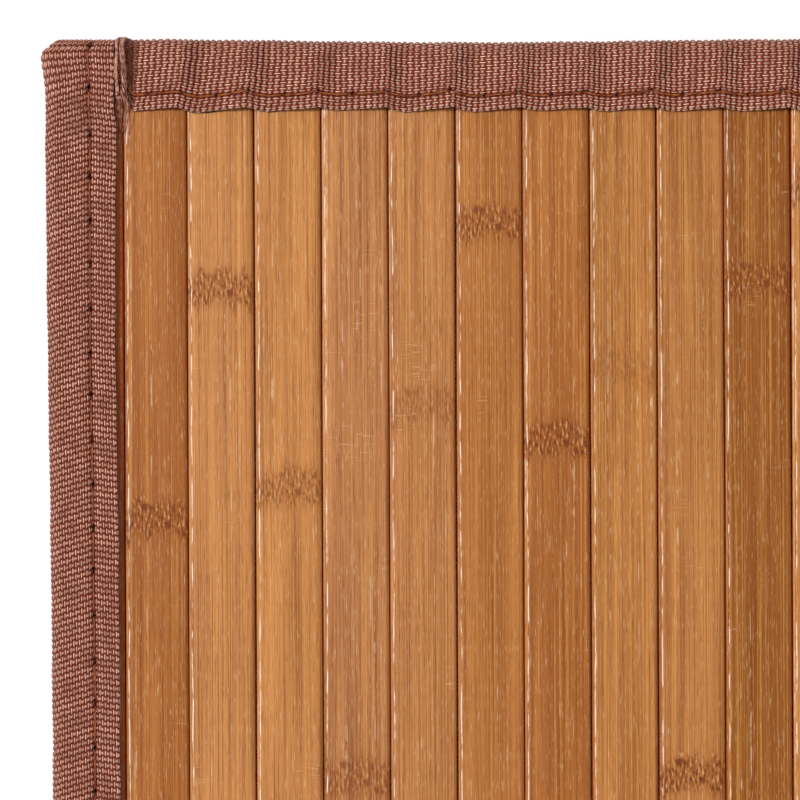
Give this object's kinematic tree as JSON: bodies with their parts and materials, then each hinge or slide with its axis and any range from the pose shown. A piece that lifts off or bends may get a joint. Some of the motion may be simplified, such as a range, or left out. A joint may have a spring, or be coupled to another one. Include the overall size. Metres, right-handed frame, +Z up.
{
  "type": "bamboo mat",
  "caption": "Flat floor mat of bamboo slats laid side by side, with a woven binding tape folded over all four edges.",
  "frame": {"origin": "middle of the mat's underside, on the surface that it lies on", "axes": "+X across the slats, along the mat's longest side; +Y along the slats; +Z up out of the mat's face"},
  "size_m": [0.5, 0.4, 0.0072],
  "materials": {
    "bamboo": "stained bamboo strip under a thin satin lacquer, with fine lengthwise grain and dark knots",
    "binding_tape": "reddish brown plain-woven tape with a coarse visible weave, sewn through with one row of thread"
  },
  "bodies": {
    "root": {"slat_01": "bamboo", "slat_02": "bamboo", "slat_03": "bamboo", "slat_04": "bamboo", "slat_05": "bamboo", "slat_06": "bamboo", "slat_07": "bamboo", "slat_08": "bamboo", "slat_09": "bamboo", "slat_10": "bamboo", "slat_11": "bamboo", "slat_12": "bamboo", "slat_13": "bamboo", "slat_14": "bamboo", "slat_15": "bamboo", "slat_16": "bamboo", "slat_17": "bamboo", "slat_18": "bamboo", "slat_19": "bamboo", "slat_20": "bamboo", "slat_21": "bamboo", "slat_22": "bamboo", "slat_23": "bamboo", "slat_24": "bamboo", "slat_25": "bamboo", "slat_26": "bamboo", "slat_27": "bamboo", "slat_28": "bamboo", "slat_29": "bamboo", "slat_30": "bamboo", "slat_31": "bamboo", "slat_32": "bamboo", "slat_33": "bamboo", "slat_34": "bamboo", "slat_35": "bamboo", "slat_36": "bamboo", "slat_37": "bamboo", "slat_38": "bamboo", "slat_39": "bamboo", "slat_40": "bamboo", "slat_41": "bamboo", "binding_left": "binding_tape", "binding_right": "binding_tape", "binding_top": "binding_tape", "binding_bottom": "binding_tape"}
  },
  "joints": []
}
